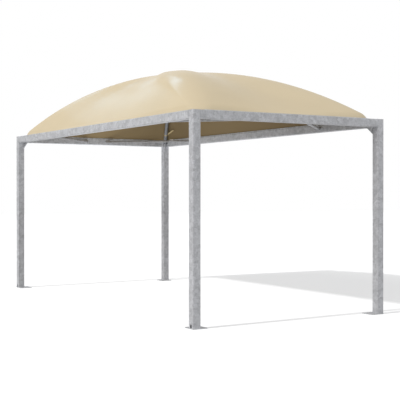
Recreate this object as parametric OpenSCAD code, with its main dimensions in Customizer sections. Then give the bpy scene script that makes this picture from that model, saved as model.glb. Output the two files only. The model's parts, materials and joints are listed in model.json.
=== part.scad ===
// Open garden gazebo: a frame of galvanised square tube on four posts, and a tensioned
// membrane roof that two crossing diagonal tube bows hold up.
// Millimetres, Z up, X along the long side, origin on the ground at the centre of the plan.

/* [Frame] */
// Length over the posts' outer faces
frame_l = 5800; // [5000:20:6600]
// Width over the posts' outer faces
frame_w = 2810; // [2500:10:3200]
// Height of the beams' top faces above the ground
eave_h = 2485; // [2200:5:2800]
// Side of the square tube of the posts and beams
tube = 100; // [80:5:120]
// Wall of the square tube
tube_wall = 4; // [3:0.5:8]
// Radius of the square tube's rounded edges
tube_round = 7; // [5:0.5:12]
// Thickness of the cap that closes a post
cap_t = 3; // [2:0.5:6]

/* [Feet] */
// Side of the square base plate
plate_side = 190; // [180:5:260]
// Thickness of the base plate
plate_t = 10; // [8:1:16]
// Diameter of an anchor hole
anchor_d = 14; // [10:1:20]
// Distance of an anchor hole's centre from the plate's inner edge
anchor_edge = 45; // [30:1:60]
// Width of the drain slot at the foot of a post
drain_w = 30; // [16:1:40]
// Height of the drain slot
drain_h = 45; // [35:1:70]

/* [Membrane] */
// Height of the membrane's crown above the beams
roof_rise = 806; // [700:2:900]
// Radius at which the ridge turns down to the corner
shoulder_r = 165; // [150:1:200]
// Reach of the membrane's rounded corner along the long side, at the lower edge
corner_l = 340; // [300:5:420]
// Reach of the rounded corner along the short side
corner_w = 112; // [104:2:150]
// Growth of the reach along the short side towards the crown
ridge_swell = 1400; // [600:10:1450]
// Roundness of the crown across the long sides, from a cone at 0 to a dome at 3
valley_long_share = 0.66; // [0.2:0.02:3]
// Roundness of the crown across the short sides
valley_short_share = 0.9; // [0.2:0.02:3]
// Thickness of the membrane with its lining
cloth_t = 3; // [2:0.5:5]

/* [Bows] */
// Depth of a bow's lower end below the beams' top faces
foot_drop = 60; // [50:1:75]
// Outer diameter of a bow's tube
bow_d = 60; // [48:1:70]
// Wall of a bow's tube
bow_wall = 3; // [2:0.5:6]
// Diameter of the hub where the bows meet
hub_d = 120; // [90:2:140]
// Height of the hub
hub_h = 90; // [75:1:140]
// Wall of the hub
hub_wall = 6; // [4:0.5:10]

/* [Bracing] */
// Outer diameter of a corner brace's tube
brace_d = 38; // [30:1:48]
// Wall of a corner brace's tube
brace_wall = 2.5; // [2:0.5:5]
// Length that a corner brace cuts off along each beam
brace_leg = 1125; // [600:5:1200]
// Thickness of a knee plate
knee_t = 8; // [6:1:12]
// Depth of a knee plate's tip below the beams' top faces
knee_drop = 186; // [150:1:260]
// Depth of a knee plate's top edge below the beams' top faces
knee_top = 14; // [8:1:30]
// Hollow of a knee plate's slanted lower edge
knee_hollow = 8; // [0:1:12]
// Height of a knee plate's end under the bow
knee_lip = 14; // [8:1:24]
// Length of a knee plate past the bow's axis
knee_past = 10; // [0:1:28]

/* [Rails and ties] */
// Width of the rail that takes the membrane's edge
rail_w = 22; // [18:1:30]
// Height of the rail
rail_h = 12; // [11:0.5:18]
// Diameter of the groove for the membrane's beaded edge
bead_d = 7; // [5:0.5:8]
// Width of the groove's mouth
bead_mouth = 3; // [2:0.5:4]
// Width of a tie strap's webbing
strap_w = 25; // [15:1:40]
// Thickness of a tie strap's webbing
strap_t = 2.5; // [1.5:0.5:4]
// Size of a tie strap's buckle
buckle_t = 12; // [10:1:16]
// Depth of the buckle below the bow's axis
buckle_drop = 4; // [2:1:8]
// Length of a tie strap's loose end
strap_tail = 200; // [100:5:260]
// Distance of a tie strap from the bow's lower end, measured in plan
strap_back = 185; // [140:5:600]

/* [Hidden] */
$fn = 48;
// Facets round a tube, and round a full turn of the bows' long arcs
tube_fn = 48;
arc_fn = 360;
// Cuts run past the faces that they cut by this much
overrun = 5;
// Room under the membrane's lower edge
edge_gap = 0.3;
// Room between a bow and the membrane over it
bow_gap = 1.2;
// Room between a bow and what sits against it
seat_gap = 0.3;
// Depth of the hub's top below the bows' upper line
hub_sink = 3;
// Angle left open over the bow by a strap, to each side
strap_open = 40;
// Turn of a strap's loose end towards the crown
tail_turn = 65;
// Fall of a strap's loose end away from the bow
tail_tilt = 18;
// Straight pieces of a knee plate's lower edge
edge_steps = 8;
// Plan angle between a side of the membrane and its ridge
ridge_angle = 45;
// Share of a corner's reach by which the middle of the corner lies inside it
inset_share = 1 - cos(ridge_angle);
// Share of an edge radius between the rounding and the sharp edge it replaces
sharp_share = 1 / cos(45) - 1;
// Rows of the membrane from the crown to the shoulder, and round the shoulder
crown_rows = 14;
shoulder_rows = 5;
// Columns of the membrane from a ridge to the straight side, and along that side
corner_cols = 3;
side_cols = 8;

steel = "#a6a9ab";
alloy = "#b8bbbe";
cream = "#e3d5bb";
tan_web = "#beaa7d";

// Name and plan signs of each corner
CORNERS = [
    ["front_left", -1, -1],
    ["front_right", 1, -1],
    ["back_left", -1, 1],
    ["back_right", 1, 1],
];
// Name and outward direction of each side, and whether it is a long one
SIDES = [
    ["front", 270, true],
    ["right", 0, false],
    ["back", 90, true],
    ["left", 180, false],
];
CORNER_PARTS = [
    "post", "base_plate", "post_cap", "corner_brace", "knee_plate", "bow", "bow_foot", "tie_strap",
];
SIDE_PARTS = ["beam", "edge_rail", "canopy"];

// Centre lines and inner faces of the posts and beams
post_x = (frame_l - tube) / 2;
post_y = (frame_w - tube) / 2;
inner_x = frame_l / 2 - tube;
inner_y = frame_w / 2 - tube;
plate_x = (frame_l - plate_side) / 2;
plate_y = (frame_w - plate_side) / 2;
anchor_reach = plate_side - tube / 2 - anchor_edge;

// Lower edge of the membrane, on the middle line of the rails
edge_x = inner_x + rail_w / 2;
edge_y = inner_y + rail_w / 2;
edge_z = eave_h + rail_h + edge_gap;
apex_z = eave_h + roof_rise;

// The ridge runs in a vertical plane from the crown to the middle of the rounded corner
foot_x = edge_x - corner_l * inset_share;
foot_y = edge_y - corner_w * inset_share;
foot_reach = norm([foot_x, foot_y]);
ridge_turn = atan2(foot_y, foot_x);

// The shoulder's circle passes through the ridge's foot, and its centre is level with the bow's
// lower end. The ridge's circle passes through the crown and touches the shoulder's from outside.
shoulder_z = eave_h - foot_drop;
shoulder_x = foot_reach - sqrt(shoulder_r ^ 2 - (edge_z - shoulder_z) ^ 2);
crown_rise = apex_z - shoulder_z;
ridge_r = (shoulder_x ^ 2 + crown_rise ^ 2 - shoulder_r ^ 2) / (2 * (crown_rise - shoulder_r));
ridge_axis_z = apex_z - ridge_r;
ridge_sweep = asin(shoulder_x / (ridge_r - shoulder_r));

// The bow follows the ridge at a depth that clears the membrane beside the ridge too, as the
// membrane's corner doesn't face straight along the bow
corner_turn = atan2(corner_l, corner_w);
bow_depth = (cloth_t + bow_gap + bow_d / 2) / cos(corner_turn - ridge_turn);
bow_r = ridge_r - bow_depth;
bend_r = shoulder_r - bow_depth;
leg_reach = shoulder_x + bend_r;
hub_top = apex_z - bow_depth + bow_d / 2 - hub_sink;

// A knee plate runs from the post's rounded inner edge to a little past the bow's end
leg_x = leg_reach * cos(ridge_turn);
leg_y = leg_reach * sin(ridge_turn);
knee_reach = norm([inner_x - leg_x, inner_y - leg_y]);
knee_turn = atan2(leg_y - inner_y, leg_x - inner_x);
knee_skew = atan2(inner_y - leg_y, inner_x - leg_x);
knee_lean = min(knee_skew, 90 - knee_skew);
knee_clear = knee_t / 2 / tan(knee_lean) + seat_gap;
knee_start = seat_gap - min(tube_round * sharp_share, knee_t / 2 * tan(knee_lean));
knee_end = knee_reach + knee_past;
knee_fall = knee_drop - foot_drop - knee_lip;

// Distance from the crown in plan, and height, of a row of the membrane's ridge,
// for a face that lies the given depth inside the outer one
function ridge_row(i, depth) =
    i <= crown_rows
        ? [
            (ridge_r - depth) * sin(ridge_sweep * i / crown_rows),
            ridge_axis_z + (ridge_r - depth) * cos(ridge_sweep * i / crown_rows),
        ]
        : let (
            last = acos((edge_z - shoulder_z) / (shoulder_r - depth)),
            turn = ridge_sweep + (last - ridge_sweep) * (i - crown_rows) / shoulder_rows
        ) [
            shoulder_x + (shoulder_r - depth) * sin(turn),
            shoulder_z + (shoulder_r - depth) * cos(turn),
        ];
ROWS = crown_rows + shoulder_rows;

// Height along the middle of a panel at a share of the way from the crown to the edge
function valley_height(share, round_share, depth) =
    let (
        fall = sqrt(share ^ 2 + round_share ^ 2) - round_share,
        full = sqrt(1 + round_share ^ 2) - round_share
    ) edge_z + (apex_z - depth - edge_z) * (1 - fall / full);

// Columns across a panel: the angle round a corner, and the share along the straight side
COLUMNS = concat(
    [for (j = [0 : corner_cols]) [ridge_angle * (1 - j / corner_cols), 1]],
    [for (j = [1 : side_cols - 1]) [0, 1 - 2 * j / side_cols]],
    [for (j = [0 : corner_cols]) [-ridge_angle * j / corner_cols, -1]]
);

// A point of a panel whose outward direction is X: each level of the roof is a rectangle
// with rounded corners on the ridges, and it dips between the ridges
function panel_point(i, column, is_long, depth) =
    let (
        row = ridge_row(i, depth),
        share = row[0] / ridge_row(ROWS, depth)[0],
        round_l = share * corner_l,
        round_w = share * (corner_w + ridge_swell * (1 - share)),
        half_l = row[0] * cos(ridge_turn) + round_l * inset_share,
        half_w = row[0] * sin(ridge_turn) + round_w * inset_share,
        out = is_long ? half_w : half_l,
        along = is_long ? half_l : half_w,
        round_out = is_long ? round_w : round_l,
        round_along = is_long ? round_l : round_w,
        valley = valley_height(share, is_long ? valley_long_share : valley_short_share, depth),
        lift = (1 - cos(180 * column[1])) / 2
    ) [
        out - round_out + round_out * cos(column[0]),
        column[1] * (along - round_along) + round_along * sin(column[0]),
        valley + (row[1] - valley) * lift,
    ];

// Places what is drawn for the corner at +X +Y in the named corner
module at_corner(c) {
    mirror([c[1] < 0 ? 1 : 0, 0, 0])
        mirror([0, c[2] < 0 ? 1 : 0, 0])
            children();
}

// Stands a flat drawing up: its X becomes up and its Y becomes out from the crown
module upright() {
    rotate([0, 0, ridge_turn])
        rotate([0, -90, -90])
            children();
}

module rounded_square(side, r) {
    square([side - 2 * r, side], center = true);
    square([side, side - 2 * r], center = true);
    for (x = [-1, 1], y = [-1, 1])
        translate([x * (side / 2 - r), y * (side / 2 - r)])
            circle(r);
}

module square_tube(length) {
    linear_extrude(length)
        difference() {
            rounded_square(tube, tube_round);
            square(tube - 2 * tube_wall, center = true);
        }
}

module ring(outer_d, wall) {
    difference() {
        circle(d = outer_d, $fn = tube_fn);
        circle(d = outer_d - 2 * wall, $fn = tube_fn);
    }
}

// Post: square tube with an arched drain slot in its outer face on the long side
module post() {
    color(steel)
        translate([post_x, post_y, plate_t])
            difference() {
                square_tube(eave_h - cap_t - plate_t);
                translate([0, (tube - tube_wall) / 2, 0])
                    rotate([90, 0, 0])
                        linear_extrude(tube_wall + 2 * overrun, center = true) {
                            translate([-drain_w / 2, -overrun])
                                square([drain_w, drain_h - drain_w / 2 + overrun]);
                            translate([0, drain_h - drain_w / 2])
                                circle(d = drain_w);
                        }
            }
}

// Base plate: flush with the post's two outer faces, with anchor holes on the inner sides
module base_plate() {
    color(steel)
        difference() {
            translate([plate_x, plate_y, plate_t / 2])
                cube([plate_side, plate_side, plate_t], center = true);
            for (way = [[1, 0], [0, 1]])
                translate([post_x - way[0] * anchor_reach, post_y - way[1] * anchor_reach, -overrun])
                    cylinder(d = anchor_d, h = plate_t + 2 * overrun);
        }
}

module post_cap() {
    color(steel)
        translate([post_x, post_y, eave_h - cap_t])
            linear_extrude(cap_t)
                rounded_square(tube, tube_round);
}

// Corner brace: straight tube across the corner at the beams' mid height
module corner_brace() {
    color(steel)
        translate([0, 0, eave_h - tube / 2])
            intersection() {
                translate([inner_x - brace_leg / 2, inner_y - brace_leg / 2, 0])
                    rotate([90, 0, 45])
                        linear_extrude(2 * brace_leg, center = true)
                            ring(brace_d, brace_wall);
                cube([2 * inner_x, 2 * inner_y, tube], center = true);
            }
}

// Knee plate: gusset from the post's inner edge that carries the bow's end in a notch
module knee_plate() {
    edge = [for (i = [0 : edge_steps]) let (share = i / edge_steps) [
        knee_start + (knee_end - knee_start) * share,
        -knee_drop + knee_fall * share + 4 * knee_hollow * share * (1 - share),
    ]];
    color(steel)
        translate([inner_x, inner_y, eave_h])
            rotate([90, 0, knee_turn])
                linear_extrude(knee_t, center = true)
                    polygon(concat(edge, [
                        [knee_end, -foot_drop - seat_gap],
                        [knee_reach - bow_d / 2 - seat_gap, -foot_drop - seat_gap],
                        [knee_reach - bow_d / 2 - seat_gap, -knee_top],
                        [knee_clear, -knee_top],
                        [knee_clear, -tube - knee_clear],
                        [knee_start, -tube - knee_clear],
                    ]));
}

// Bow: half of a crossing arch, from the hub to the shoulder
module bow() {
    color(steel)
        difference() {
            upright()
                translate([ridge_axis_z, 0, 0])
                    rotate_extrude(angle = ridge_sweep, $fn = arc_fn)
                        translate([bow_r, 0])
                            ring(bow_d, bow_wall);
            translate([0, 0, hub_top - hub_h])
                cylinder(d = hub_d, h = hub_h + hub_sink + overrun);
        }
}

// Bow foot: bent end of the bow's tube, from the shoulder down to its upright end
module bow_foot() {
    color(steel)
        upright()
            translate([shoulder_z, shoulder_x, 0])
                rotate([0, 0, ridge_sweep])
                    rotate_extrude(angle = 90 - ridge_sweep)
                        translate([bend_r, 0])
                            ring(bow_d, bow_wall);
}

// Tie strap: webbing loop around the bow, a buckle, and a loose end under the membrane
module tie_strap() {
    strap_turn = asin((leg_reach - strap_back) / bow_r);
    color(tan_web)
        upright()
            translate([ridge_axis_z, 0, 0])
                rotate([0, 0, strap_turn])
                    translate([bow_r, 0, 0]) {
                        rotate([90, 0, 0])
                            rotate([0, 0, strap_open])
                                rotate_extrude(angle = 360 - 2 * strap_open)
                                    translate([bow_d / 2 + seat_gap, -strap_w / 2])
                                        square([strap_t, strap_w]);
                        translate([-buckle_drop, 0, bow_d / 2 + seat_gap + strap_t / 2]) {
                            translate([0, 0, buckle_t / 2])
                                cube([buckle_t, strap_w + 2 * strap_t, buckle_t], center = true);
                            rotate([tail_turn, -tail_tilt, 0])
                                translate([0, 0, (strap_w + strap_tail) / 2])
                                    cube([strap_t, strap_w, strap_tail], center = true);
                        }
                    }
}

// Crown hub: short closed tube in which the four bows end
module crown_hub() {
    color(steel)
        translate([0, 0, hub_top - hub_h])
            difference() {
                cylinder(d = hub_d, h = hub_h);
                translate([0, 0, -overrun])
                    cylinder(d = hub_d - 2 * hub_wall, h = hub_h - hub_wall + overrun);
            }
}

module beam(is_long) {
    length = (is_long ? frame_l : frame_w) - 2 * tube;
    color(steel)
        translate([is_long ? post_y : post_x, length / 2, eave_h - tube / 2])
            rotate([90, 0, 0])
                square_tube(length);
}

// Edge rail: grooved strip on the beam's inner edge that holds the membrane's bead
module edge_rail(is_long) {
    length = 2 * (is_long ? edge_x - corner_l : edge_y - corner_w);
    color(alloy)
        translate([is_long ? edge_y : edge_x, length / 2, eave_h])
            rotate([90, 0, 0])
                linear_extrude(length)
                    difference() {
                        translate([-rail_w / 2, 0])
                            square([rail_w, rail_h]);
                        translate([0, rail_h / 2])
                            circle(d = bead_d);
                        translate([-bead_mouth / 2, rail_h / 2])
                            square([bead_mouth, rail_h]);
                    }
}

// Canopy: one side of the membrane, a thin double-curved shell between two ridges
module canopy(is_long) {
    last = len(COLUMNS) - 1;
    points = concat(
        [for (depth = [0, cloth_t]) [0, 0, apex_z - depth]],
        [for (depth = [0, cloth_t]) for (i = [1 : ROWS]) for (column = COLUMNS)
            panel_point(i, column, is_long, depth)]
    );
    // Number of a point on the outer face, side 0, or the inner face, side 1
    function at(side, i, j) = i == 0 ? side : 2 + (side * ROWS + i - 1) * (last + 1) + j;
    cells = [for (i = [0 : ROWS - 1]) for (j = [0 : last - 1]) [i, j]];
    faces = concat(
        [for (c = cells) [at(0, c[0], c[1]), at(0, c[0] + 1, c[1]), at(0, c[0] + 1, c[1] + 1)]],
        [for (c = cells) [at(1, c[0], c[1]), at(1, c[0] + 1, c[1] + 1), at(1, c[0] + 1, c[1])]],
        [for (c = cells) if (c[0] > 0)
            [at(0, c[0], c[1]), at(0, c[0] + 1, c[1] + 1), at(0, c[0], c[1] + 1)]],
        [for (c = cells) if (c[0] > 0)
            [at(1, c[0], c[1]), at(1, c[0], c[1] + 1), at(1, c[0] + 1, c[1] + 1)]],
        [for (j = [0 : last - 1]) [at(0, ROWS, j + 1), at(0, ROWS, j), at(1, ROWS, j)]],
        [for (j = [0 : last - 1]) [at(0, ROWS, j + 1), at(1, ROWS, j), at(1, ROWS, j + 1)]],
        [for (i = [0 : ROWS - 1]) [at(0, i + 1, 0), at(0, i, 0), at(1, i, 0)]],
        [for (i = [0 : ROWS - 1]) [at(0, i + 1, 0), at(1, i, 0), at(1, i + 1, 0)]],
        [for (i = [0 : ROWS - 1]) [at(0, i, last), at(0, i + 1, last), at(1, i + 1, last)]],
        [for (i = [0 : ROWS - 1]) [at(0, i, last), at(1, i + 1, last), at(1, i, last)]]
    );
    color(cream)
        polyhedron(points = points, faces = faces, convexity = 4);
}

for (c = CORNERS) {
    at_corner(c) post();
    at_corner(c) base_plate();
    at_corner(c) post_cap();
    at_corner(c) corner_brace();
    at_corner(c) knee_plate();
    at_corner(c) bow();
    at_corner(c) bow_foot();
    at_corner(c) tie_strap();
}
for (s = SIDES) {
    rotate([0, 0, s[1]]) beam(s[2]);
    rotate([0, 0, s[1]]) edge_rail(s[2]);
    rotate([0, 0, s[1]]) canopy(s[2]);
}
crown_hub();
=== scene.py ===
"""Looks of an open garden gazebo: a galvanised tube frame under a cream membrane roof."""

import json
import math

import bpy
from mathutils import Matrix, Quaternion, Vector

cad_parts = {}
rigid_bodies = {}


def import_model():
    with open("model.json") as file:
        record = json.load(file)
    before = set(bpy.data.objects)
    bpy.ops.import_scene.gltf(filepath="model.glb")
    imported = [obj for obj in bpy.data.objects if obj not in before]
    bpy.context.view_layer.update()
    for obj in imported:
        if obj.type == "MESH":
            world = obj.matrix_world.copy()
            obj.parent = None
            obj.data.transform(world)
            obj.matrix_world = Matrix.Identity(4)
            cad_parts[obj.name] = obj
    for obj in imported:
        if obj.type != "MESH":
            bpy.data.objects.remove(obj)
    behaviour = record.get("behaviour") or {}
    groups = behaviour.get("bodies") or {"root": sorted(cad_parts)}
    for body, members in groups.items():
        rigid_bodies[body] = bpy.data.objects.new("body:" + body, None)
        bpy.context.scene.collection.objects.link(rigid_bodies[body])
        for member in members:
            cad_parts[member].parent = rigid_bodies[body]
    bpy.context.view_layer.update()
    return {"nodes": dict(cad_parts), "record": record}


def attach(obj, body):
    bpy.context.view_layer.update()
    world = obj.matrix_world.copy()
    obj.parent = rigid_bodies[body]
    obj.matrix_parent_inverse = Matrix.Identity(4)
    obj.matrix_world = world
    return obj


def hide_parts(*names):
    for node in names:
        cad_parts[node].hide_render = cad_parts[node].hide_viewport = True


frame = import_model()

# Sizes of the frame and the roof, in metres, as in the part's source
TUBE = 0.100
TUBE_ROUND = 0.007
FRAME_L, FRAME_W = 5.800, 2.810
EAVE_H = 2.485
PLATE_T = 0.010
DRAIN_W = 0.030
RAIL_W, RAIL_H = 0.022, 0.012
CORNER_L, CORNER_W = 0.340, 0.112
SHOULDER_R = 0.165
FOOT_DROP = 0.060
RIDGE_SWELL = 1.400
ROOF_RISE = 0.806
VALLEY_LONG, VALLEY_SHORT = 0.66, 0.90
BOW_D = 0.060
BRACE_D, BRACE_LEG = 0.038, 1.125
KNEE_DROP, KNEE_T = 0.186, 0.008
HUB_D = 0.120
HUB_SINK = 0.003
CLOTH_T, BOW_GAP = 0.003, 0.0012
EDGE_GAP = 0.0003

# The shown sheet: its thickness, how sharply its dips fold, and where its corners face, in degrees from X
SHEET_T = 0.0012
FOLD_LONG, FOLD_SHORT = 2.0, 1.0
CORNER_TURN = 52
CROWN_ROWS, SHOULDER_ROWS = 54, 14
CORNER_COLS, SIDE_COLS = 12, 40
CROWN_CROWDING = 1.15
HEM_W, HEM_LIFT, HEM_ROWS = 0.045, 0.0014, 5

# Weld beads: radii, ripples and the length of a ripple
FOOT_BEAD, BEAM_BEAD, ARM_BEAD, JOINT_BEAD = 0.0035, 0.0022, 0.0030, 0.0011
FINE_RIPPLE, COARSE_RIPPLE = 0.12, 0.15
BEAD_STEP = 0.005
BEAD_BITE = 0.001
KNEE_BEAD_LOW, KNEE_BEAD_HIGH = 0.004, 0.006
RING_POINTS, JOINT_POINTS = 40, 48
ARC_POINTS = 5

# Rail screws: radii, heights over the rail, place on the flange and count
SCREW_R, SCREW_TOP_R = 0.0030, 0.0022
SCREW_SINK, SCREW_RIM, SCREW_H = 0.0010, 0.0006, 0.0012
SCREW_OUT, SCREW_MARGIN = 0.0065, 0.040
SCREWS_LONG, SCREWS_SHORT = 15, 7
SCREW_SIDES = 12

# Levels of light
FLOOR_SHADE, FLOOR_GLOW = 0.33, 0.515
SOFT_LEVEL, KEY_LEVEL, FLOOR_KEY_LEVEL = 0.74, 1.17, 5.4
UNDER_POWER, NOSE_POWER, FLANK_POWER, WIDE_POWER = 30, 215, 25, 140
SUN_DISTANCE, SHEEN_DISTANCE = 20, 14

INNER_X, INNER_Y = FRAME_L / 2 - TUBE, FRAME_W / 2 - TUBE
POST_X, POST_Y = (FRAME_L - TUBE) / 2, (FRAME_W - TUBE) / 2
EDGE_X, EDGE_Y = INNER_X + RAIL_W / 2, INNER_Y + RAIL_W / 2
EDGE_Z = EAVE_H + RAIL_H + EDGE_GAP
APEX_Z = EAVE_H + ROOF_RISE
CORNERS = [(sx, sy) for sx in (-1, 1) for sy in (-1, 1)]
X, Y, Z = Vector((1, 0, 0)), Vector((0, 1, 0)), Vector((0, 0, 1))


# Materials

def new_material(name):
    """An empty material, its node tree and its output node."""
    mat = bpy.data.materials.new(name)
    mat.use_nodes = True
    tree = mat.node_tree
    tree.nodes.clear()
    out = tree.nodes.new("ShaderNodeOutputMaterial")
    return mat, tree, out


def node(tree, kind, **inputs):
    """A shader node with some of its inputs set."""
    made = tree.nodes.new(kind)
    for key, value in inputs.items():
        made.inputs[key.replace("_", " ")].default_value = value
    return made


def scaled(tree, source, low, high):
    """A value from 0 to 1 spread between low and high."""
    made = node(tree, "ShaderNodeMapRange", To_Min=low, To_Max=high)
    tree.links.new(source, made.inputs["Value"])
    return made.outputs["Result"]


def times(tree, a, b):
    """Two values multiplied."""
    made = tree.nodes.new("ShaderNodeMath")
    made.operation = "MULTIPLY"
    tree.links.new(a, made.inputs[0])
    tree.links.new(b, made.inputs[1])
    return made.outputs[0]


def tinted(tree, colour, factor):
    """A colour made lighter or darker by a factor."""
    made = tree.nodes.new("ShaderNodeVectorMath")
    made.operation = "SCALE"
    made.inputs[0].default_value = colour
    tree.links.new(factor, made.inputs["Scale"])
    return made.outputs[0]


def bumped(tree, height, strength, distance):
    """A surface normal roughened by a height."""
    made = node(tree, "ShaderNodeBump", Strength=strength, Distance=distance)
    tree.links.new(height, made.inputs["Height"])
    return made.outputs["Normal"]


def galvanised(name, colour, roughness, metallic=0.1, gloss=0.15):
    """Zinc coat: crystal patches of a few centimetres over a cloudy drift."""
    mat, tree, out = new_material(name)
    place = tree.nodes.new("ShaderNodeTexCoord").outputs["Object"]
    drift = node(tree, "ShaderNodeTexNoise", Scale=9.0, Detail=5.0, Roughness=0.65)
    patches = node(tree, "ShaderNodeTexVoronoi", Scale=24.0)
    grain = node(tree, "ShaderNodeTexVoronoi", Scale=70.0)
    for tex in (drift, patches, grain):
        tree.links.new(place, tex.inputs["Vector"])
    large = tree.nodes.new("ShaderNodeSeparateColor")
    tree.links.new(patches.outputs["Color"], large.inputs["Color"])
    small = tree.nodes.new("ShaderNodeSeparateColor")
    tree.links.new(grain.outputs["Color"], small.inputs["Color"])
    factor = times(tree, scaled(tree, large.outputs[0], 0.86, 1.11),
                   scaled(tree, drift.outputs["Fac"], 0.82, 1.18))
    factor = times(tree, factor, scaled(tree, small.outputs[0], 0.91, 1.08))
    shader = node(tree, "ShaderNodeBsdfPrincipled", Metallic=metallic, Specular_IOR_Level=gloss)
    tree.links.new(tinted(tree, colour, factor), shader.inputs["Base Color"])
    tree.links.new(scaled(tree, small.outputs[1], roughness - 0.08, roughness + 0.08),
                   shader.inputs["Roughness"])
    tree.links.new(bumped(tree, drift.outputs["Fac"], 0.25, 0.0015), shader.inputs["Normal"])
    tree.links.new(shader.outputs[0], out.inputs["Surface"])
    return mat


def membrane(name, colour, roughness, gloss):
    """Coated cloth: a fine weave under a smooth film."""
    mat, tree, out = new_material(name)
    place = tree.nodes.new("ShaderNodeTexCoord").outputs["Object"]
    drift = node(tree, "ShaderNodeTexNoise", Scale=1.6, Detail=3.0, Roughness=0.5)
    weave = node(tree, "ShaderNodeTexNoise", Scale=420.0, Detail=1.0, Roughness=0.5)
    for tex in (drift, weave):
        tree.links.new(place, tex.inputs["Vector"])
    shader = node(tree, "ShaderNodeBsdfPrincipled", Specular_IOR_Level=gloss)
    factor = times(tree, scaled(tree, drift.outputs["Fac"], 0.96, 1.04),
                   scaled(tree, weave.outputs["Fac"], 0.985, 1.015))
    tree.links.new(tinted(tree, colour, factor), shader.inputs["Base Color"])
    tree.links.new(scaled(tree, drift.outputs["Fac"], roughness - 0.03, roughness + 0.03),
                   shader.inputs["Roughness"])
    tree.links.new(bumped(tree, weave.outputs["Fac"], 0.06, 0.0004), shader.inputs["Normal"])
    tree.links.new(shader.outputs[0], out.inputs["Surface"])
    return mat


def webbing(name, colour):
    """Woven strap: crossing ribs."""
    mat, tree, out = new_material(name)
    place = tree.nodes.new("ShaderNodeTexCoord").outputs["Object"]
    ribs = node(tree, "ShaderNodeTexWave", Scale=160.0, Distortion=0.4)
    tree.links.new(place, ribs.inputs["Vector"])
    shader = node(tree, "ShaderNodeBsdfPrincipled", Roughness=0.8)
    tree.links.new(tinted(tree, colour, scaled(tree, ribs.outputs["Fac"], 0.82, 1.1)),
                   shader.inputs["Base Color"])
    tree.links.new(bumped(tree, ribs.outputs["Fac"], 0.5, 0.0008), shader.inputs["Normal"])
    tree.links.new(shader.outputs[0], out.inputs["Surface"])
    return mat


MATERIALS = {
    "galvanised": galvanised("galvanised_steel", (0.514, 0.518, 0.534), 0.56),
    "rail": galvanised("rail_aluminium", (0.58, 0.585, 0.59), 0.40, 0.5),
    "membrane": membrane("cream_membrane", (0.69, 0.58, 0.397), 0.20, 0.003),
    "webbing": webbing("tan_webbing", (0.50, 0.38, 0.19)),
}
WELD = galvanised("weld_bead", (0.53, 0.54, 0.56), 0.42)
HEM = membrane("membrane_hem", (0.695, 0.587, 0.405), 0.34, 0.003)
# The sheet's underside: the cream cloth darkened to brown, as painted shade under the roof
SHADED_UNDERSIDE = membrane("membrane_underside_painted_shade", (0.205, 0.147, 0.074), 0.75, 0.1)
# Bows: the frame's galvanised steel painted far darker, as painted shade under the roof
SHADED_BOW_STEEL = galvanised("bow_steel_painted_shade", (0.20, 0.205, 0.215), 0.36, 0.55)

# The bows take the painted-shade steel, the other parts their slot's material
for part in frame["record"]["subparts"]:
    is_bow = part["node"].startswith("bow")
    frame["nodes"][part["node"]].data.materials[0] = SHADED_BOW_STEEL if is_bow else MATERIALS[part["material_slot"]]


# Helpers for meshes

def add_mesh(name, points, faces, material):
    """A smooth mesh fixed to the frame's body."""
    data = bpy.data.meshes.new(name)
    data.from_pydata(points, [], faces)
    data.polygons.foreach_set("use_smooth", [True] * len(data.polygons))
    data.materials.append(material)
    made = bpy.data.objects.new(name, data)
    bpy.context.scene.collection.objects.link(made)
    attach(made, "root")
    return made


# A direction that none of the beads follows
OFF_AXIS = Vector((0.31, 0.17, 0.94))


def rope(path, radius, closed, ripple, sides=8):
    """Points and faces of a bead along a path, with a ripple in its thickness."""
    points, faces = [], []
    count = len(path)
    for i, here in enumerate(path):
        ahead = path[(i + 1) % count] if closed else path[min(i + 1, count - 1)]
        behind = path[(i - 1) % count] if closed else path[max(i - 1, 0)]
        way = (ahead - behind).normalized()
        side = way.cross(OFF_AXIS).normalized()
        up = side.cross(way)
        r = radius * (1 + ripple * (1 if i % 2 else -1))
        for k in range(sides):
            turn = 2 * math.pi * k / sides
            points.append(here + r * (math.cos(turn) * side + math.sin(turn) * up))
    for i in range(count if closed else count - 1):
        a, b = i * sides, (i + 1) % count * sides
        for k in range(sides):
            n = (k + 1) % sides
            faces.append((a + k, b + k, b + n, a + n))
    if not closed:
        faces.append(tuple(range(sides)))
        faces.append(tuple(reversed(range((count - 1) * sides, count * sides))))
    return points, faces


def resampled(path, step, closed):
    """A path cut into equal short lengths."""
    ends = path + path[:1] if closed else path
    made = []
    for a, b in zip(ends, ends[1:]):
        steps = max(1, round((b - a).length / step))
        made += [a.lerp(b, i / steps) for i in range(steps)]
    return made if closed else made + [ends[-1]]


def joined(name, parts, material):
    """One mesh made of several."""
    points, faces = [], []
    for some_points, some_faces in parts:
        base = len(points)
        points += [tuple(p) for p in some_points]
        faces += [tuple(base + i for i in f) for f in some_faces]
    return add_mesh(name, points, faces, material)


# Membrane: one continuous sheet over the part's ridges. Its corners turn rounder and its long sides dip
# deeper than in the solid panels

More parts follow.
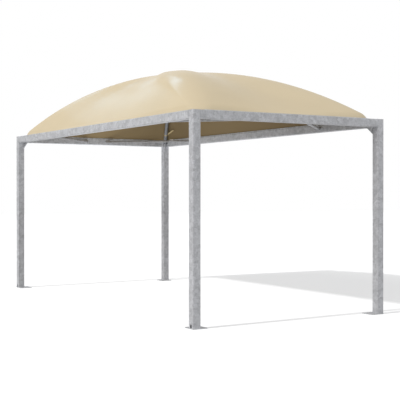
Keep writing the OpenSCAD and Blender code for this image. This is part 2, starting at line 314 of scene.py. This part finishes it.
INSET = 1 - math.cos(math.radians(45))
FOOT_X, FOOT_Y = EDGE_X - CORNER_L * INSET, EDGE_Y - CORNER_W * INSET
FOOT_REACH = math.hypot(FOOT_X, FOOT_Y)
RIDGE_TURN = math.atan2(FOOT_Y, FOOT_X)
SHOULDER_Z = EAVE_H - FOOT_DROP
SHOULDER_X = FOOT_REACH - math.sqrt(SHOULDER_R ** 2 - (EDGE_Z - SHOULDER_Z) ** 2)
CROWN_RISE = APEX_Z - SHOULDER_Z
RIDGE_R = (SHOULDER_X ** 2 + CROWN_RISE ** 2 - SHOULDER_R ** 2) / (2 * (CROWN_RISE - SHOULDER_R))
ARC_Z = APEX_Z - RIDGE_R
SWEEP = math.asin(SHOULDER_X / (RIDGE_R - SHOULDER_R))
LAST_TURN = math.acos((EDGE_Z - SHOULDER_Z) / SHOULDER_R)
BOW_DEPTH = (CLOTH_T + BOW_GAP + BOW_D / 2) / math.cos(math.atan2(CORNER_L, CORNER_W) - RIDGE_TURN)
HUB_TOP = APEX_Z - BOW_DEPTH + BOW_D / 2 - HUB_SINK


def ridge_rows():
    """Plan distance from the crown and height along a ridge, from the crown down to the edge."""
    rows = []
    for i in range(1, CROWN_ROWS + 1):
        turn = SWEEP * (i / CROWN_ROWS) ** CROWN_CROWDING
        rows.append((RIDGE_R * math.sin(turn), ARC_Z + RIDGE_R * math.cos(turn)))
    for i in range(1, SHOULDER_ROWS + 1):
        turn = SWEEP + (LAST_TURN - SWEEP) * i / SHOULDER_ROWS
        rows.append((SHOULDER_X + SHOULDER_R * math.sin(turn), SHOULDER_Z + SHOULDER_R * math.cos(turn)))
    return rows


def valley(share, k):
    """Height of a side's middle line at a share of the way from the crown to the edge."""
    fall = (math.hypot(share, k) - k) / (math.hypot(1, k) - k)
    return EDGE_Z + (APEX_Z - EDGE_Z) * (1 - fall)


def level(reach, ridge_z):
    """One closed line round the roof: a rectangle with rounded corners that dips between the ridges."""
    share = reach / FOOT_REACH
    ridge_x, ridge_y = reach * math.cos(RIDGE_TURN), reach * math.sin(RIDGE_TURN)
    swell = CORNER_W + RIDGE_SWELL * (1 - share)
    sides = ((ridge_x, ridge_y, share * CORNER_L * INSET, CORNER_TURN, VALLEY_SHORT, FOLD_SHORT),
             (ridge_y, ridge_x, share * swell * INSET, 90 - CORNER_TURN, VALLEY_LONG, FOLD_LONG))
    line = []
    for side in range(4):
        out, along, gap, end, k, fold = sides[side % 2]
        low = valley(share, k)
        c, s = round(math.cos(math.pi / 2 * side)), round(math.sin(math.pi / 2 * side))
        r = gap / (1 - math.cos(math.radians(end)))
        straight = along - r * math.sin(math.radians(end))
        columns = [(-end * (1 - j / CORNER_COLS), -1.0) for j in range(CORNER_COLS + 1)]
        columns += [(0.0, 2 * j / SIDE_COLS - 1) for j in range(1, SIDE_COLS)]
        columns += [(end * j / CORNER_COLS, 1.0) for j in range(CORNER_COLS)]
        for turn, part in columns:
            x = out + r * (math.cos(math.radians(turn)) - math.cos(math.radians(end)))
            y = part * straight + r * math.sin(math.radians(turn))
            lift = ((1 - math.cos(math.pi * part)) / 2) ** fold
            line.append(Vector((c * x - s * y, s * x + c * y, low + (ridge_z - low) * lift)))
    return line


def grid_faces(rows, count, first=0):
    """Faces between closed rows of points."""
    return [(first + i * count + j, first + (i + 1) * count + j,
             first + (i + 1) * count + (j + 1) % count, first + i * count + (j + 1) % count)
            for i in range(rows - 1) for j in range(count)]


LEVELS = [level(reach, height) for reach, height in ridge_rows()]
COUNT = len(LEVELS[0])
sheet_points = [Vector((0, 0, APEX_Z))] + [p for line in LEVELS for p in line]
sheet_faces = [(0, 1 + j, 1 + (j + 1) % COUNT) for j in range(COUNT)] + grid_faces(len(LEVELS), COUNT, 1)
cloth = add_mesh("membrane", sheet_points, sheet_faces, MATERIALS["membrane"])
thick = cloth.modifiers.new("thickness", "SOLIDIFY")
thick.thickness = SHEET_T
thick.offset = -1
# Its inner face takes the painted-shade underside colour
cloth.data.materials.append(SHADED_UNDERSIDE)
thick.material_offset = 1
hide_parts("canopy_front", "canopy_right", "canopy_back", "canopy_left")

# Hem: a welded band along the membrane's lower edge
hem_points = []
for j in range(COUNT):
    column = [line[j] for line in reversed(LEVELS)]
    tangent = LEVELS[-1][(j + 1) % COUNT] - LEVELS[-1][j - 1]
    for k in range(HEM_ROWS):
        left = HEM_W * k / (HEM_ROWS - 1)
        i = 0
        while left > (column[i + 1] - column[i]).length:
            left -= (column[i + 1] - column[i]).length
            i += 1
        way = (column[i + 1] - column[i]).normalized()
        out = tangent.cross(way).normalized()
        lift = HEM_LIFT if k < HEM_ROWS - 1 else 0.0
        hem_points.append(column[i] + left * way + lift * out)
hem_faces = [(j * HEM_ROWS + k, (j + 1) % COUNT * HEM_ROWS + k,
              (j + 1) % COUNT * HEM_ROWS + k + 1, j * HEM_ROWS + k + 1)
             for j in range(COUNT) for k in range(HEM_ROWS - 1)]
hem = add_mesh("membrane_hem", hem_points, hem_faces, HEM)


# Weld beads

def square_outline(centre, u, v, half, r):
    """Rounded square in the plane of u and v."""
    line = []
    for quarter in range(4):
        a = math.pi / 2 * quarter
        cu = half - r if quarter in (0, 3) else r - half
        cv = half - r if quarter in (0, 1) else r - half
        for k in range(ARC_POINTS):
            turn = a + math.pi / 2 * k / (ARC_POINTS - 1)
            line.append(centre + (cu + r * math.cos(turn)) * u + (cv + r * math.sin(turn)) * v)
    return line


welds = []
for sx, sy in CORNERS:
    foot = square_outline(Vector((sx * POST_X, sy * POST_Y, PLATE_T)), X, sy * Y, TUBE / 2, TUBE_ROUND)
    start = Vector((sx * POST_X - DRAIN_W / 2, sy * (POST_Y + TUBE / 2), PLATE_T))
    end = Vector((sx * POST_X + DRAIN_W / 2, sy * (POST_Y + TUBE / 2), PLATE_T))
    path = [start] + foot[ARC_POINTS:] + foot[:ARC_POINTS] + [end]
    welds.append(rope(resampled(path, BEAD_STEP, False), FOOT_BEAD, False, FINE_RIPPLE))
    for centre, u in ((Vector((sx * INNER_X, sy * POST_Y, EAVE_H - TUBE / 2)), Y),
                      (Vector((sx * POST_X, sy * INNER_Y, EAVE_H - TUBE / 2)), X)):
        ring = square_outline(centre, u, Z, TUBE / 2, TUBE_ROUND)
        welds.append(rope(resampled(ring, BEAD_STEP, True), BEAM_BEAD, True, FINE_RIPPLE))
    for centre, u in ((Vector((sx * (INNER_X - BRACE_LEG), sy * INNER_Y, EAVE_H - TUBE / 2)), X),
                      (Vector((sx * INNER_X, sy * (INNER_Y - BRACE_LEG), EAVE_H - TUBE / 2)), Y)):
        ring = [centre + BRACE_D / 2 * (math.sqrt(2) * math.cos(t) * u + math.sin(t) * Z)
                for t in (2 * math.pi * k / RING_POINTS for k in range(RING_POINTS))]
        welds.append(rope(ring, ARM_BEAD, True, COARSE_RIPPLE))
    leg = SHOULDER_X + SHOULDER_R - BOW_DEPTH
    leg_at = Vector((sx * leg * math.cos(RIDGE_TURN), sy * leg * math.sin(RIDGE_TURN), 0))
    edge_at = Vector((sx * INNER_X, sy * INNER_Y, 0))
    inward = (leg_at - edge_at).normalized()
    across = inward.cross(Z)
    for way in (-1, 1):
        at = edge_at - BEAD_BITE * inward + way * (KNEE_T / 2) * across
        path = [at + (EAVE_H - KNEE_DROP + KNEE_BEAD_LOW) * Z, at + (EAVE_H - TUBE - KNEE_BEAD_HIGH) * Z]
        welds.append(rope(resampled(path, BEAD_STEP, False), ARM_BEAD, False, COARSE_RIPPLE))
    # Bow to hub, and the joint at the shoulder
    out = Vector((sx * math.cos(RIDGE_TURN), sy * math.sin(RIDGE_TURN), 0))
    flat = out.cross(Z)
    ring = []
    for k in range(RING_POINTS):
        t = 2 * math.pi * k / RING_POINTS
        y = BOW_D / 2 * math.sin(t)
        x = math.sqrt((HUB_D / 2) ** 2 - y * y)
        z = APEX_Z - BOW_DEPTH + BOW_D / 2 * math.cos(t)
        if z < HUB_TOP:
            ring.append(x * out + y * flat + z * Z)
    welds.append(rope(ring, ARM_BEAD, False, FINE_RIPPLE))
    bow_r = RIDGE_R - BOW_DEPTH
    joint = bow_r * math.sin(SWEEP) * out + (ARC_Z + bow_r * math.cos(SWEEP)) * Z
    normal = math.sin(SWEEP) * out + math.cos(SWEEP) * Z
    ring = [joint + BOW_D / 2 * (math.cos(t) * normal + math.sin(t) * flat)
            for t in (2 * math.pi * k / JOINT_POINTS for k in range(JOINT_POINTS))]
    welds.append(rope(ring, JOINT_BEAD, True, COARSE_RIPPLE))
joined("weld_beads", welds, WELD)

# Screws along the rails' outer flange
screws = []
turns = [2 * math.pi * k / SCREW_SIDES for k in range(SCREW_SIDES)]
for is_long in (True, False):
    half = (EDGE_X - CORNER_L if is_long else EDGE_Y - CORNER_W) - SCREW_MARGIN
    count = SCREWS_LONG if is_long else SCREWS_SHORT
    for i in range(count):
        t = half * (2 * i / (count - 1) - 1)
        for sign in (-1, 1):
            x, y = (t, sign * (EDGE_Y + SCREW_OUT)) if is_long else (sign * (EDGE_X + SCREW_OUT), t)
            seat = Vector((x, y, EAVE_H + RAIL_H))
            points = []
            for r, h in ((SCREW_R, -SCREW_SINK), (SCREW_R, SCREW_RIM), (SCREW_TOP_R, SCREW_H)):
                points += [seat + Vector((r * math.cos(a), r * math.sin(a), h)) for a in turns]
            faces = grid_faces(3, SCREW_SIDES)
            faces.append(tuple(range(2 * SCREW_SIDES, 3 * SCREW_SIDES)))
            screws.append((points, faces))
joined("rail_screws", screws, MATERIALS["rail"])


# Stage, light and camera

def seen_white(tree):
    """1 for the camera's rays and for mirrored or refracted ones, 0 for all other light."""
    path = tree.nodes.new("ShaderNodeLightPath")
    seen = path.outputs["Is Camera Ray"]
    for kind in ("Is Glossy Ray", "Is Transmission Ray"):
        either = tree.nodes.new("ShaderNodeMath")
        either.operation = "MAXIMUM"
        tree.links.new(seen, either.inputs[0])
        tree.links.new(path.outputs[kind], either.inputs[1])
        seen = either.outputs[0]
    return seen


def stage_material(name, shade, glow_level):
    """A plain grey that keeps the object's shadow and glows up to white for the camera and in mirrors."""
    mat, tree, out = new_material(name)
    grey = node(tree, "ShaderNodeBsdfDiffuse", Color=(shade, shade, shade, 1))
    glow = node(tree, "ShaderNodeEmission", Color=(1, 1, 1, 1))
    tree.links.new(scaled(tree, seen_white(tree), 0.0, glow_level), glow.inputs["Strength"])
    both = tree.nodes.new("ShaderNodeAddShader")
    tree.links.new(grey.outputs[0], both.inputs[0])
    tree.links.new(glow.outputs[0], both.inputs[1])
    tree.links.new(both.outputs[0], out.inputs["Surface"])
    return mat


bpy.ops.mesh.primitive_plane_add(size=120, location=(0, 0, 0))
floor = bpy.context.object
floor.name = "floor"
floor.data.materials.append(stage_material("floor", FLOOR_SHADE, FLOOR_GLOW))

world = bpy.data.worlds.new("studio")
bpy.context.scene.world = world
world.use_nodes = True
tree = world.node_tree
tree.nodes.clear()
soft = node(tree, "ShaderNodeBackground", Color=(0.97, 0.98, 1.0, 1), Strength=SOFT_LEVEL)
white = node(tree, "ShaderNodeBackground", Color=(1, 1, 1, 1), Strength=1.0)
mix = tree.nodes.new("ShaderNodeMixShader")
tree.links.new(seen_white(tree), mix.inputs[0])
tree.links.new(soft.outputs[0], mix.inputs[1])
tree.links.new(white.outputs[0], mix.inputs[2])
out = tree.nodes.new("ShaderNodeOutputWorld")
tree.links.new(mix.outputs[0], out.inputs["Surface"])


def aimed(obj, target):
    """Turns a lamp towards a point."""
    obj.rotation_mode = "QUATERNION"
    obj.rotation_quaternion = (target - obj.location).to_track_quat("-Z", "Y")


def lamp(name, kind, location, target, energy, **settings):
    """A lamp at a place, aimed at a point."""
    data = bpy.data.lights.new(name, kind)
    data.energy = energy
    for key, value in settings.items():
        setattr(data, key, value)
    made = bpy.data.objects.new(name, data)
    bpy.context.scene.collection.objects.link(made)
    made.location = location
    aimed(made, target)
    return made


centre = Vector((0, 0, 1.8))
sun_at = centre + SUN_DISTANCE * Vector((0.06, -0.845, 0.532))
lamp("key", "SUN", sun_at, centre, KEY_LEVEL, angle=math.radians(20), color=(1.0, 0.99, 0.97))
# A lamp for the floor alone, so that the cast shadow reads against the white
floor_key = lamp("floor_key", "SUN", sun_at, centre, FLOOR_KEY_LEVEL, angle=math.radians(2))
lit = bpy.data.collections.new("lit_by_floor_key")
lit.objects.link(floor)
floor_key.light_linking.receiver_collection = lit
# A long panel under the roof, for the inner faces
under_at = Vector((-1.4, 0, 1.2))
under = lamp("under", "AREA", under_at, under_at + Z, UNDER_POWER,
             shape="RECTANGLE", size=4.2, size_y=0.3, color=(0.90, 0.95, 1.0))
under.visible_camera = False
# The braces' undersides face this panel squarely, so they stay out of its light
unlit = bpy.data.collections.new("unlit_by_under")
for thing in bpy.context.scene.objects:
    if thing.name.startswith("corner_brace"):
        unlit.objects.link(thing)
for member in unlit.collection_objects:
    member.light_linking.link_state = "EXCLUDE"
under.light_linking.receiver_collection = unlit
# Three cool panels that show only as the membrane's sheen
nose, flank = Vector((1.9, -1.05, 2.85)), Vector((0.3, -0.92, 2.93))
for name, at, way, power, length, width, roll in (
        ("sheen_nose", nose, Vector((-0.815, 0.21, 0.54)), NOSE_POWER, 4.5, 1.2, 22),
        ("sheen_flank", flank, Vector((-0.909, 0.192, 0.371)), FLANK_POWER, 5.0, 0.65, 24),
        ("sheen_wide", flank, Vector((-0.90, 0.0, 0.43)), WIDE_POWER, 5.0, 2.4, 24)):
    panel = lamp(name, "AREA", at + SHEEN_DISTANCE * way, at, power,
                 shape="RECTANGLE", size=length, size_y=width, color=(0.45, 0.72, 1.0))
    panel.rotation_quaternion @= Quaternion((0, 0, 1), math.radians(roll))
    panel.visible_diffuse = False
    panel.visible_camera = False

camera_data = bpy.data.cameras.new("camera")
camera_data.lens = 85.56
camera_data.sensor_width = 36
camera = bpy.data.objects.new("camera", camera_data)
bpy.context.scene.collection.objects.link(camera)
camera.location = (12.1464, -6.7787, 1.5052)
camera.rotation_euler = (math.radians(90 - 0.236), 0, math.radians(59.42))
camera_data.clip_end = 300
bpy.context.scene.camera = camera

bpy.context.scene.view_settings.view_transform = "Standard"
